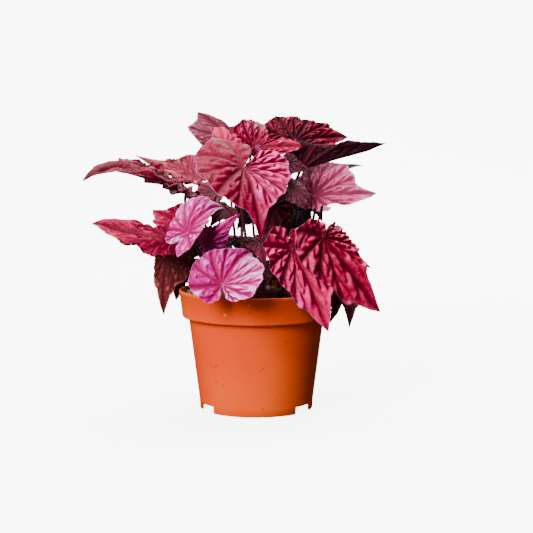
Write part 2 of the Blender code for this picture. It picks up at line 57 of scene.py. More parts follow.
# Pot, as in the solids
POT_HEIGHT = 93
RIM_TOP_RADIUS = 60
RIM_LOW_RADIUS = 57.5
RIM_BAND = 21
LIP_RADIUS = 1.1
BEAD_DEPTH = 2.4
BEAD_TAPER = 0.12
BEAD_STEP = 0.3
BAND_ROUNDING = 1.15
BODY_TOP_RADIUS = 52.6
BODY_LOW_RADIUS = 44.3
WALL = 1.5
FOOT_HEIGHT = 6
FOOT_WALL = 2.6
PAD_RADIUS = 13
PAD_SLOPE = 5
NOTCH_ANGLES = (-152, -32, 88)
NOTCH_WIDTH = 22
DRAIN_COUNT = 6
DRAIN_RADIUS = 4
DRAIN_CIRCLE = 29
POT_STEPS = 144
NOTCH_LENGTH = 14
NOTCH_HEIGHT = 5.7
CUT_DEPTH = 12
LEDGE = POT_HEIGHT - RIM_BAND
POT_FLOOR = FOOT_HEIGHT + WALL
SOIL_EDGE = 83.5
SOIL_CROWN = 86
SOIL_SIDES = 132
CRUMBS = 420
THREADS = 260
THREAD_TURN = 200
THREAD_SPREAD = 26

# Rhizome and stalks
RHIZOME = ((-34, 4, 88), (-16, -3, 89), (2, 1, 89), (20, 6, 88), (36, 2, 87))
RHIZOME_RADIUS = 6
STALK_ROOT_RADIUS = 1.5
STALK_TIP_RADIUS = 1.05
SMALL_STALK = 0.85
STALK_SLACK = 0.25
STALK_END = 0.55
LEAF_SPREAD = 110
STALK_SIDES = 10
BRISTLES = 70
BRISTLE_HALF_WIDTH = 0.09

# Blades
BLADE_THICKNESS = 0.7
FINE_THICKNESS = 0.45
VEIN_ANGLES = (0, 24, 50, 80, 112, 145)
SINUS_ANGLE = 168
OUTLINE_ANGLES = (0, 4, 8, 13, 20, 30, 45, 65, 85, 105, 125, 145, 160, 170, 176)
OUTLINE_RADII = (1, .83, .735, .675, .655, .66, .655, .64, .63, .62, .58, .51, .42, .30, .12)
LOBE_REACH = 0.6
VEIN_WEIGHTS = (0.55, 0.9, 0.6, 1, 0.6, 1.15, 0.6, 1, 0.6, 0.9, 0.55)
NOTCH_CLOSE = 173
VEIN_TOOTH = 1.02
BAY_DEPTH = 0.97
VEIN_SWEEP = 0.08
LAST_LINE = 6
HOOK_START = 0.88

# A blade's mesh has zones from the hub outwards: their ends, as shares of the way out, and for each
# pair of small and detail the spokes from one vein line to the next and the rows of each zone
ZONES = (0, 0.2, 0.48, 1)
ZONE_MESH = {(False, 1): ((4, 8, 16), (8, 12, 25)), (False, 0): ((3, 6, 12), (6, 8, 16)),
             (True, 1): ((3, 6, 12), (5, 8, 15)), (True, 0): ((2, 4, 8), (4, 5, 9))}

# Direction of the painted light on the blades: raised folds turned towards it are painted as lit, folds
# turned away are painted as shaded
LIT_FROM = np.array((-0.42, -0.56, 0.714))


# A leaf's values where its row names no others. One number for a pair stands for both halves.
PAIRS = ("fold", "curl", "wide", "lobe", "taper", "pale")
LEAF_DEFAULTS = dict(
    fold=10, curl=-20, wide=0.85, lobe=1, bend=30, ease=1.3, taper=0, skew=0, sag=20, twist=0,
    wave=(0.015, 4, 0), pleat=0.03, small=False, lean=None, via=None, reach=0.3, crinkle=1.0, detail=1,
    teeth=1.4, bite=3, hook=0, pitch=1.3, pale=0)


def leaf(name, tone, hub, tip, face, **changes):
    """One leaf's design, in millimetres and degrees, with the meanings that the solids give them.

    Pairs hold the left and the right half, as seen from the hub towards the tip.
    crinkle: height of the puckers; detail: 0 for a plainer mesh; teeth: their length in mm;
    bite: spokes from tooth to tooth; hook: turn of the last bit of the tip; pitch: spacing of the folds;
    The last of the pairs sets how much each half is painted lighter or darker: painted light and shade.
    """
    design = dict(LEAF_DEFAULTS, name=name, tone=tone, hub=hub, tip=tip, face=face, **changes)
    for key in PAIRS:
        if np.isscalar(design[key]):
            design[key] = (design[key], design[key])
    return design


def minor(name, tone, hub, tip, face, **changes):
    """A leaf that others mostly hide from the front, with a thinner stalk and a plainer mesh."""
    return leaf(name, tone, hub, tip, face, small=True, detail=0, **changes)


LEAVES = (
    leaf("center_heart", "heart", (-9, -25, 189), (3, -50, 136), (0.3, -0.72, 0.62), curl=(-5, -30),
         wide=(0.9, 0.96), lobe=(0.85, 1.1), bend=50, skew=-50, twist=-12, pitch=2, pale=(0.5, -0.75)),
    leaf("top_pink", "rose", (-23, 2, 201), (-31, 30, 217), (0, -0.86, 0.5), fold=(8, 4), wide=(0.62, 0.55),
         lobe=0.6, bend=80, small=True, crinkle=0.7, pitch=1.8),
    leaf("top_left", "mauve", (-18, 78, 207), (-49, 88, 229), (-0.55, -0.72, 0.4), fold=(12, 15),
         curl=(-20, -15), wide=(1.05, 0.4), lobe=(0.45, 0.4), bend=25, taper=(0.5, 0.1), crinkle=0.7,
         hook=-30),
    leaf("top_young", "young", (-2, 20, 202), (3, 48, 220), (0.2, -0.92, 0.34), fold=(22, 18),
         curl=(-10, -20), wide=(0.95, 0.62), lobe=0.5, bend=75, pleat=0.07, small=True, crinkle=1.5),
    leaf("top_rolled", "young", (1, 2.2, 202.6), (36, 0.2, 203.6), (0, -0.85, 0.5), fold=0, curl=-90,
         wide=0.36, lobe=(0.3, 0.4), bend=20, taper=0.35, pleat=0.05, small=True, crinkle=1.4),
    leaf("top_right_rear", "garnet", (31, 38, 207), (74, 56, 209), (-0.1, -0.85, 0.5), fold=5,
         wide=(0.75, 0.6), lobe=(1.15, 0.6), bend=20, taper=0.2, crinkle=1.5),
    leaf("top_right_trough", "ruby", (35, 12, 187), (101, 5, 206), (0, 0.03, 1), fold=(46, 64),
         curl=(-15, 0), wide=(0.6, 0.5), lobe=0.4, bend=-3, taper=0.25, sag=0, wave=(0.008, 4, 0),
         via=(20, 24, 145)),
    leaf("right_pink", "dusk", (45, 4, 166), (93, -6, 168), (0, -0.76, 0.65), fold=(6, 9), curl=(-20, -5),
         wide=(1.06, 0.5), lobe=(0.8, 0.6), bend=5, taper=(0, 0.35), sag=35, twist=15, pitch=1.8),
    leaf("right_rear_tip", "dark", (50, 48, 175), (87, 60, 186), (0, -0.3, 0.95), wide=0.7, bend=35,
         small=True),
    leaf("right_mauve", "plum", (28, -19, 172), (43, -8, 156), (0, -0.75, 0.66), fold=(0, 8),
         curl=(-50, -25), wide=(0.85, 0.75), lobe=(1, 0.9), bend=60, small=True, via=(27, 2, 138),
         crinkle=0.6),
    leaf("left_long", "wine", (-53, 0, 170), (-130, -30, 177), (-0.05, -0.22, 0.97), fold=(4, -2),
         curl=(-24, -10), wide=(0.5, 0.6), lobe=(0.5, 0.35), bend=75, ease=2.4, taper=0.2, sag=-22,
         twist=-25, wave=(0.03, 6, 40), reach=0.2, crinkle=1.8, teeth=3, bite=4),
    leaf("left_rear", "ash", (-46, 53, 175), (-98, 58, 195), (0.05, -0.42, 0.9), fold=20, curl=0, wide=0.75,
         lobe=(0.3, 0.7), bend=-20, crinkle=1.3),
    leaf("left_low", "cherry", (-63, -20, 133.5), (-127, -5, 144), (0, -0.43, 0.9), fold=(0, 15),
         curl=(0, -20), wide=(0.6, 0.42), lobe=(0.6, 0.8), bend=-10, taper=0.2, twist=-30, crinkle=1.7,
         teeth=2.2, hook=35, pale=(-0.25, -0.1)),
    leaf("left_low_small", "rose", (-55, 12, 142), (-82, 20, 153), (-0.2, -0.9, 0.3), bend=35,
         taper=(0.4, 0), small=True, crinkle=1.3),
    leaf("left_lilac", "lilac", (-51, -54, 142), (-23, -28, 157), (-0.35, -0.78, 0.52), fold=(10, 30),
         curl=(-75, -5), wide=(1.25, 0.65), lobe=0.85, bend=90, skew=-15, twist=20, lean=(-12, -10, 18),
         crinkle=0.8, pitch=2),
    leaf("left_magenta", "magenta", (-37, -43, 132), (-11, -50, 156), (-0.1, -0.98, 0.1), fold=(-36, -30),
         curl=(-30, -50), wide=(0.6, 0.7), bend=45, sag=60, twist=10, crinkle=1.3, pale=0.35),
    leaf("front_lilac", "lilac", (-24.5, -71, 105), (-2.5, -34, 124), (-0.13, -0.83, 0.54), fold=(25, 18),
         curl=(-16, -5), wide=(0.78, 0.95), lobe=(0.62, 0.68), bend=80, skew=39, twist=5, crinkle=0.85,
         pitch=2.2, pale=(-0.1, 0.3)),
    leaf("front_inner", "wine", (3, -20, 132), (7, -44, 114), (-0.2, -0.87, 0.45), wide=(0.85, 0.6),
         lobe=(0.6, 0.8), small=True),
    leaf("front_right", "fuchsia", (28, -48, 129), (54, -59, 68), (0.45, -0.75, 0.45), fold=(-5, 12),
         curl=(-25, -5), wide=(0.64, 0.72), lobe=(0.5, 0.7), bend=12, taper=0.2, sag=-10, twist=35,
         crinkle=1.35, pitch=1.9, pale=-0.15),
    leaf("right_coral", "coral", (51, -45, 138), (95, -30, 79), (0.3, -0.9, 0.3), fold=(-25, 20),
         curl=(-55, -22), wide=(0.74, 0.66), lobe=(0.45, 0.38), bend=8, taper=(0.02, 0.35), skew=-82,
         sag=-15, twist=20, pleat=0.012, lean=(28, 18, 40), crinkle=1.35, hook=-25, pitch=1.9, pale=-0.15),
    leaf("right_low_tip", "plum", (68, 2, 99), (72, -10, 63), (0.6, -0.75, 0.2), wide=(0.8, 0.68), lobe=0.5,
         small=True, lean=(8, 4, 26), reach=0.15, crinkle=0.5),
    leaf("right_low_small", "olive", (66, 24, 101), (58.5, 26, 62), (0.6, -0.75, 0.25), wide=0.5, lobe=0.5,
         small=True, lean=(8, 4, 26), reach=0.15),
    leaf("right_olive_small", "olive", (67, 48, 115), (94, 62, 102), (0.1, -0.65, 0.75), wide=(0.85, 0.95),
         bend=15, small=True),
    leaf("left_hanging", "olive", (-69, 6, 121), (-73.5, 23, 69), (-0.3, -0.95, 0.1), fold=(15, -35),
         curl=(-20, -50), wide=(0.7, 0.9), lobe=0.55, bend=50),
    minor("left_hanging_small", "olive", (-57, 25, 105), (-65, 40, 78), (-0.3, -0.9, 0.1), wide=0.5),
    leaf("inner_low", "plum", (1, -25, 112), (7, -40, 92), (0, -0.9, 0.5), lobe=0.5, small=True),
    minor("inner_center", "wine", (13.5, -3, 158), (6.5, -9, 126), (0, -0.9, 0.5), wide=(0.62, 0.68),
          lobe=0.6),
    minor("inner_right", "dark", (33, 14, 153), (45, 4, 139), (0, -0.9, 0.5), wide=(0.78, 1)),
    minor("inner_left", "wine", (-24, -6, 155.5), (-36, -15, 141), (-0.1, -0.8, 0.6), wide=0.8, lobe=0.6),
    minor("inner_small", "ruby", (23, -9, 191), (43, -15, 184), (0, -0.9, 0.5), wide=(0.6, 0.8), lobe=0.6),
    minor("inner_edge", "dark", (-20, -16, 129), (0, -17, 134), (0, -0.3, 0.95), wide=0.5, lobe=0.5),
    minor("inner_left_high", "wine", (-33, 18, 167), (-55, 20, 160), (-0.1, -0.6, 0.75), wide=0.9,
          lobe=0.7),
    minor("inner_left_low", "dark", (-44, 32, 124), (-54, 31, 110), (-0.2, -0.8, 0.5), wide=0.8, lobe=0.8),
    minor("inner_middle", "dark", (-1, 25, 156), (-16, 28, 136), (-0.1, -0.85, 0.5), wide=(0.9, 1),
          lobe=0.8),
    minor("inner_right_low", "dark", (24, 34, 151), (24, 30, 126), (0.1, -0.85, 0.5), wide=1.1, lobe=0.7),
    minor("back_left_high", "garnet", (-44, 61, 148), (-70, 101, 138), (-0.3, 0.35, 0.9), lobe=0.6,
          bend=55),
    minor("back_center_high", "coral", (4, 72, 160), (10, 118, 136), (0.05, 0.45, 0.9), lobe=0.6, bend=50),
    minor("back_right_high", "dusk", (34, 66, 152), (55, 104, 136), (0.35, 0.4, 0.85), lobe=(0.7, 0.6),
          bend=55),
    minor("back_left_mid", "wine", (-44, 58, 110), (-66, 94, 84), (-0.5, 0.5, 0.7), bend=50),
    minor("back_center_mid", "fuchsia", (-4, 68, 126), (-8, 114, 96), (-0.1, 0.6, 0.8), bend=50),
    minor("back_right_mid", "cherry", (38, 62, 116), (62, 92, 82), (0.5, 0.55, 0.7), bend=45),
    minor("back_low", "plum", (8, 64, 100), (12, 96, 66), (0.1, 0.8, 0.6), bend=40),
)

# Valley, middle, ridge, margin and underside colours of each kind of leaf; the valley colour also paints
# shade, the ridge colour painted highlights and sheen
TONES = {
    "heart": ((104, 0, 32), (214, 0, 82), (255, 84, 176), (255, 120, 200), (110, 14, 30)),
    "rose": ((150, 0, 44), (220, 0, 92), (255, 96, 176), (255, 110, 190), (120, 20, 40)),
    "mauve": ((96, 30, 48), (148, 60, 86), (204, 122, 144), (150, 60, 90), (80, 14, 28)),
    "young": ((108, 0, 34), (214, 0, 76), (255, 110, 180), (216, 0, 100), (90, 0, 26)),
    "garnet": ((50, 0, 14), (144, 4, 42), (216, 60, 110), (120, 0, 40), (58, 6, 18)),
    "ruby": ((34, 4, 14), (100, 6, 32), (176, 36, 80), (150, 40, 64), (44, 14, 22)),
    "dusk": ((128, 34, 64), (224, 90, 144), (255, 164, 208), (210, 40, 110), (90, 16, 38)),
    "plum": ((90, 36, 48), (142, 62, 84), (178, 108, 134), (120, 48, 84), (66, 22, 42)),
    "wine": ((62, 4, 22), (130, 6, 42), (176, 56, 84), (160, 30, 74), (60, 12, 28)),
    "ash": ((128, 30, 54), (184, 62, 90), (218, 138, 148), (190, 50, 96), (86, 24, 40)),
    "cherry": ((108, 0, 36), (208, 20, 84), (248, 88, 148), (236, 40, 124), (84, 10, 32)),
    "lilac": ((150, 0, 76), (222, 24, 156), (255, 200, 252), (240, 140, 226), (104, 12, 60)),
    "magenta": ((132, 0, 62), (252, 0, 140), (255, 84, 206), (236, 40, 160), (92, 4, 46)),
    "fuchsia": ((132, 0, 46), (240, 0, 92), (255, 76, 168), (240, 140, 208), (90, 6, 40)),
    "coral": ((104, 0, 34), (220, 4, 76), (255, 100, 160), (226, 110, 164), (80, 6, 28)),
    "olive": ((84, 20, 26), (132, 44, 50), (172, 128, 100), (120, 30, 56), (74, 30, 30)),
    # Leaves deep in the plant's shade, coloured near black as painted shade
    "dark": ((18, 0, 7), (46, 8, 20), (86, 24, 44), (66, 12, 32), (28, 6, 16)),
}


def srgb(red, green, blue):
    """Linear colour from 8-bit display values."""
    values = [c / 255 for c in (red, green, blue)]
    return [c / 12.92 if c < 0.04045 else ((c + 0.055) / 1.055) ** 2.4 for c in values] + [1]


def curve_through(x, xs, ys):
    """Smooth curve through the points (xs, ys)."""
    xs = np.asarray(xs, float)
    ys = np.asarray(ys, float)
    slopes = np.gradient(ys, xs)
    i = np.clip(np.searchsorted(xs, x) - 1, 0, len(xs) - 2)
    step = xs[i + 1] - xs[i]
    t = np.clip((x - xs[i]) / step, 0, 1)
    start = (2 * t**3 - 3 * t**2 + 1) * ys[i] + (t**3 - 2 * t**2 + t) * slopes[i] * step
    end = (3 * t**2 - 2 * t**3) * ys[i + 1] + (t**3 - t**2) * slopes[i + 1] * step
    return start + end


def smooth_step(low, high, x):
    """0 below low, 1 above high, smooth between."""
    t = np.clip((x - low) / (high - low), 0, 1)
    return t * t * (3 - 2 * t)


def value_noise(x, y, seed):
    """Smooth noise between -1 and 1 on a lattice of unit cells."""
    n = LATTICE
    lattice = np.random.default_rng(seed).random((n, n)) * 2 - 1
    x = np.asarray(x, float) + 1000
    y = np.asarray(y, float) + 1000
    i = np.floor(x).astype(int)
    j = np.floor(y).astype(int)
    s = smooth_step(0, 1, x - i)
    t = smooth_step(0, 1, y - j)
    near = lattice[i % n, j % n] * (1 - s) + lattice[(i + 1) % n, j % n] * s
    far = lattice[i % n, (j + 1) % n] * (1 - s) + lattice[(i + 1) % n, (j + 1) % n] * s
    return near * (1 - t) + far * t


def margin(spec, angle):
    """Distance of the margin from the hub, as a share of the midrib, at an angle in degrees."""
    away = np.abs(angle)
    wide, lobe, taper = (np.where(angle > 0, *spec[key]) for key in ("wide", "lobe", "taper"))
    wide_share = np.interp(away, (6, 30, 95, 140, 170), (0, 1, 1, 0, 0))
    lobe_share = np.interp(away, (95, 140), (0, 1))
    tip_share = np.interp(away, (0, 4, 20, 45), (0, 0.3, 1, 0))
    shape = curve_through(away, OUTLINE_ANGLES, OUTLINE_RADII) * (1 + taper * tip_share)
    return shape * (1 + (wide - 1) * wide_share + (lobe - 1) * lobe_share)


def midrib(spec):
    """The midrib in the leaf's own upright plane: shares along it, its x and z, and its slope."""
    t = np.linspace(-LOBE_REACH, 1, 65)
    bend = math.radians(spec["bend"])
    sag = math.radians(spec["sag"])
    slope = np.where(t > 0, bend * np.abs(t) ** spec["ease"], -sag * np.abs(t) / LOBE_REACH)
    slope = slope + math.radians(spec["hook"]) * np.clip((t - HOOK_START) / (1 - HOOK_START), 0, 1)
    step = t[1] - t[0]
    ways = (np.cos(slope), -np.sin(slope))
    sums = [np.concatenate([[0], np.cumsum((way[1:] + way[:-1]) / 2 * step)]) for way in ways]
    x, z = (total - np.interp(0, t, total) for total in sums)
    return t, x, z, slope


def flat_places(reach, angle):
    """Flat x and y of polar places, with the angle in degrees."""
    return np.stack([reach * np.cos(np.radians(angle)), reach * np.sin(np.radians(angle))], -1)


def leaf_points(spec, angle, share, lift=0, fringe=1):
    """Points of the blade's middle surface in millimetres, at polar places about the hub."""
    angle, share = np.broadcast_arrays(np.asarray(angle, float), np.asarray(share, float))
    reach = share * margin(spec, angle) * fringe
    angle = angle + spec["skew"] * (angle / 180) ** 2
    u, v = np.moveaxis(flat_places(reach, angle), -1, 0)
    left = v >= 0
    out = np.sqrt(v * v + 0.02**2) - 0.02
    fold = np.radians(np.where(left, *spec["fold"]))
    curl = np.radians(np.where(left, *spec["curl"])) + 1e-9
    turn = fold + curl * out / LOBE_REACH
    y = (LOBE_REACH / curl * (np.sin(turn) - np.sin(fold)) + np.abs(v) - out) * np.where(left, 1, -1)
    z = -LOBE_REACH / curl * (np.cos(turn) - np.cos(fold)) + lift
    height, count, phase = spec["wave"]
    z = z + height * share**2 * np.sin(np.radians(count * angle + phase))
    twist = np.radians(spec["twist"]) * u
    y, z = y * np.cos(twist) - z * np.sin(twist), y * np.sin(twist) + z * np.cos(twist)
    t, rib_x, rib_z, slope = midrib(spec)
    tilt = np.interp(u, t, slope)
    x = np.interp(u, t, rib_x) + z * np.sin(tilt)
    z = np.interp(u, t, rib_z) + z * np.cos(tilt)
    return to_world(spec, np.stack([x, y, z], -1), rib_x[-1], rib_z[-1])


def to_world(spec, local, tip_x, tip_z):
    """Carry local points so that the hub and the tip land on their places and the blade faces its way."""
    length = math.hypot(tip_x, tip_z)
    along = np.array([tip_x, 0, tip_z]) / length
    own = np.array([along, (0, 1, 0), np.cross(along, (0, 1, 0))])
    hub, tip, face = (np.array(spec[key], float) for key in ("hub", "tip", "face"))
    chord = tip - hub
    scale = np.linalg.norm(chord) / length
    world_along = chord / np.linalg.norm(chord)
    world_up = face - face.dot(world_along) * world_along
    world_up /= np.linalg.norm(world_up)
    world = np.array([world_along, np.cross(world_up, world_along), world_up])
    return hub + scale * (local @ own.T @ world)


def midrib_length(spec):
    """Length of the midrib in millimetres."""
    rib_x, rib_z = midrib(spec)[1:3]
    chord = np.linalg.norm(np.array(spec["tip"], float) - np.array(spec["hub"], float))
    return chord / math.hypot(rib_x[-1], rib_z[-1])


def vein_angle(number, share):
    """Angle in degrees of a line between the main veins, which sweep a little towards the tip."""
    outward = list(VEIN_ANGLES) + [NOTCH_CLOSE]
    stops = [-angle for angle in reversed(outward[1:])] + outward
    base = np.interp(number, np.arange(-LAST_LINE, LAST_LINE + 1), stops)
    return base - VEIN_SWEEP * share**2 * base * (1 - (base / SINUS_ANGLE) ** 2)


def vein_lines(spec, rng):
    """Main veins and their branches, as polylines in shares of the midrib."""
    def flat(number, share):
        angle = vein_angle(number, share)
        return flat_places(share * margin(spec, angle), angle)

    veins = range(1 - LAST_LINE, LAST_LINE)
    mains = [flat(np.full(14, float(k)), np.linspace(0, 0.97, 14)) for k in veins]
    branches = []
    t = np.linspace(0, 1, 8)
    for k in veins:
        for side in (-1, 1):
            outer = abs(k) == LAST_LINE - 1 and side * k > 0
            start = 0.1 + 0.04 * rng.random() + (0.06 if side > 0 else 0)
            while start < 0.95:
                span = (0.85 if outer else 0.5) * (0.9 + 0.2 * rng.random())
                growth = 0.62 + 0.4 * rng.random()
                number = k + side * span * t**0.9
                root_reach = start * margin(spec, vein_angle(np.array([float(k)]), start))[0]
                reach = root_reach * (1 + growth * t)
                share = reach / margin(spec, vein_angle(number, start))
                inside = share < 0.985
                if inside.sum() > 1:
                    branches.append(flat(number[inside], share[inside]))
                start += spec["pitch"] * (0.07 + 0.04 * rng.random() + 0.09 * start)
    return mains, branches


def line_distance(points, lines):
    """Distance from each flat point to the nearest of the polylines."""
    starts = np.concatenate([line[:-1] for line in lines])
    ends = np.concatenate([line[1:] for line in lines])
    run = ends - starts
    size = (run**2).sum(1) + 1e-12
    nearest = np.full(len(points), 9.0)
    for i in range(0, len(points), 2000):
        part = points[i:i + 2000]
        offset = part[:, None] - starts[None]
        t = np.clip((offset * run).sum(2) / size, 0, 1)
        gap = offset - t[..., None] * run
        nearest[i:i + 2000] = np.sqrt((gap**2).sum(2).min(1))
    return nearest


def blade_grid(small, detail):
    """Rows of shares with their spoke numbers, denser outwards, and the triangles that join them."""
    zone_spokes, zone_rows = ZONE_MESH[(small, detail)]
    shares = []
    for low, high, count in zip(ZONES, ZONES[1:], zone_rows):
        shares += list(np.linspace(low, high, count + 1)[1:])
    rows = []
    for share in shares:
        zone = sum(share >= edge for edge in ZONES[1:-1])
        spokes = 2 * LAST_LINE * zone_spokes[zone]
        rows.append((share, np.linspace(-LAST_LINE, LAST_LINE, spokes + 1)))
    first = np.cumsum([1] + [len(numbers) for share, numbers in rows])
    faces = [(0, 1 + i, 2 + i) for i in range(len(rows[0][1]) - 1)]
    for row in range(len(rows) - 1):
        spokes = len(rows[row][1]) - 1
        doubled = len(rows[row + 1][1]) - 1 > spokes
        for i in range(spokes):
            a = first[row] + i
            b = first[row + 1] + (2 * i if doubled else i)
            if doubled:
                faces += [(a, b, b + 1), (a, b + 1, a + 1), (a + 1, b + 1, b + 2)]
            elif (i + row) % 2:
                faces += [(a, b, b + 1), (a, b + 1, a + 1)]
            else:
                faces += [(a, b, a + 1), (b, b + 1, a + 1)]
    rim = list(range(first[-2], first[-1]))
    border = [0] + list(first[:-2]) + rim + list(first[1:-1] - 1)[::-1]
    return rows, np.array(faces), np.array(border)


def vertex_normals(points, faces):
    """Area-weighted normals of a triangle mesh."""
    a, b, c = (points[faces[:, i]] for i in range(3))
    flat = np.cross(b - a, c - a)
    normals = np.zeros_like(points)
    for i in range(3):
        np.add.at(normals, faces[:, i], flat)
    return normals / np.maximum(np.linalg.norm(normals, axis=1), 1e-9)[:, None]


def new_object(name, data):
    """Object of that name in the scene."""
    made = bpy.data.objects.new(name, data)
    bpy.context.scene.collection.objects.link(made)
    return made


def make_mesh(name, points, faces, values=None):
    """Mesh object from points in millimetres, with a number or vector for each point under each key."""
    mesh = bpy.data.meshes.new(name)
    mesh.vertices.add(len(points))
    mesh.vertices.foreach_set("co", (np.asarray(points) * MM).astype(np.float32).ravel())
    mesh.loops.add(faces.size)
    mesh.loops.foreach_set("vertex_index", faces.ravel().astype(np.int32))
    mesh.polygons.add(len(faces))
    mesh.polygons.foreach_set("loop_start", np.arange(0, faces.size, faces.shape[1], dtype=np.int32))
    mesh.update(calc_edges=True)
    for key, data in (values or {}).items():
        data = np.asarray(data, np.float32)
        kind, slot = ("FLOAT", "value") if data.ndim == 1 else ("FLOAT_VECTOR", "vector")
        mesh.attributes.new(key, kind, "POINT").data.foreach_set(slot, data.ravel())
    mesh.shade_smooth()
    return new_object(name, mesh)


def fine_blade(spec, index):
    """Closed blade with sunken veins, puckers between them and a toothed margin."""
    rng = np.random.default_rng(100 + index)
    rows, faces, border = blade_grid(spec["small"], spec["detail"])
    number = np.concatenate([[0]] + [numbers for share, numbers in rows])
    share = np.concatenate([[0]] + [np.full(len(numbers), s) for s, numbers in rows])
    angle = vein_angle(number, share)
    size = midrib_length(spec)

    # Teeth: each main vein ends in a point, with uneven teeth between that lean towards the tip
    near_tip = 1 - smooth_step(10, 20, np.abs(angle))
    scallop = BAY_DEPTH + (VEIN_TOOTH - BAY_DEPTH) * np.abs(np.cos(np.pi * number)) ** 1.5
    spoke = np.round(np.abs(number) * (12 if spec["small"] else 16)).astype(int)
    side = (number > 0).astype(int)
    slant = 1 - (spoke % spec["bite"]) / spec["bite"]
    tooth = slant * (0.5 + rng.random((2, 200))[side, spoke // spec["bite"]])
    tooth = tooth + 0.3 * rng.random((2, 200))[side, spoke]
    fringe = 1 + (scallop - 1) * (1 - near_tip) * share
    outermost = smooth_step(0.93, 1, share)
    off_tip = smooth_step(1, 8, np.abs(angle))
    fringe = fringe + outermost * (tooth - 0.5) * spec["teeth"] * off_tip / size
    reach = share * margin(spec, angle) * fringe
    flat = flat_places(reach, angle)

    mains, branches = vein_lines(spec, rng)
    gaps = [line_distance(flat, [line]) * size / weight for line, weight in zip(mains, VEIN_WEIGHTS)]
    main_gap = np.min(gaps, 0)
    branch_gap = line_distance(flat, branches) * size
    span = size / 60
    quilt = 1 - np.exp(-(main_gap / (1.7 * span)) ** 1.7)
    depth = 0.94 / spec["pitch"] ** 0.6
    quilt = quilt * (1 - depth * np.exp(-(branch_gap / (1.1 * span * spec["pitch"] ** 0.5)) ** 1.6))
    quilt = quilt * smooth_step(0, 0.12, share)
    seed = 300 + index
    pucker = value_noise(flat[:, 0] * size / 3.2, flat[:, 1] * size / 3.2, seed)
    swell = value_noise(flat[:, 0] * size / 14, flat[:, 1] * size / 14, seed + 50)
    height = spec["crinkle"] * span * (2.4 * (quilt - 0.45) + 0.45 * pucker * quilt + 0.5 * swell * share)
    height = height + 0.9 * span * share**6 * value_noise(number * 1.7, number * 0, seed + 90)
    height = height * (1 - 0.75 * near_tip * smooth_step(0.75, 0.95, share))

    pleat = -0.3 * np.cos(2 * np.pi * number) * spec["pleat"] * smooth_step(14, 26, np.abs(angle))
    lift = pleat * share**0.7 * (1.15 - 0.6 * share)
    middle = leaf_points(spec, angle, share, lift, fringe)
    normals = vertex_normals(middle, faces)
    # How much the smooth blade faces the painted light, taken off below so that only the puckers' own turn
    # is painted
    plain = normals @ LIT_FROM
    middle = middle + normals * height[:, None]
    normals = vertex_normals(middle, faces)
    thin = FINE_THICKNESS / 2 * (1 - 0.6 * outermost)[:, None]
    rib = 0.35 * span * np.exp(-(main_gap / 0.7) ** 2) * (1 - 0.7 * share)
    top = middle + normals * thin
    under = middle - normals * (thin + rib[:, None])

    count = len(top)
    after = np.roll(border, -1)
    wall = np.concatenate([np.stack([border, border + count, after], 1),
                           np.stack([after, border + count, after + count], 1)])
    every = np.concatenate([faces, faces[:, ::-1] + count, wall])
    relief = np.clip(quilt + 0.2 * pucker * quilt, 0, 1.2)
    # Each point keeps its half's share of painted light and shade
    values = {"relief": relief, "main_gap": main_gap, "branch_gap": branch_gap, "zone": share,
              "reach": reach * size, "spoke": number,
              "pale": np.interp(number, (-3, -0.5, 0.5, 3), np.repeat(spec["pale"][::-1], 2))}
    values = {key: np.concatenate([data, data]) for key, data in values.items()}
    # lit: each fold's turn towards the painted light beyond the smooth blade's, for painted highlights and
    # painted shade; reversed beneath
    toward = normals @ LIT_FROM - plain
    values["lit"] = np.concatenate([toward, -toward])
    values["upper"] = np.concatenate([np.ones(count), np.zeros(count)])
    flat_mm = np.stack([flat[:, 0] * size, flat[:, 1] * size, np.full(count, 17.0 * index)], -1)
    values["blade"] = np.concatenate([flat_mm, flat_mm])
    return make_mesh("begonia_leaf_" + spec["name"], np.concatenate([top, under]), every, values)


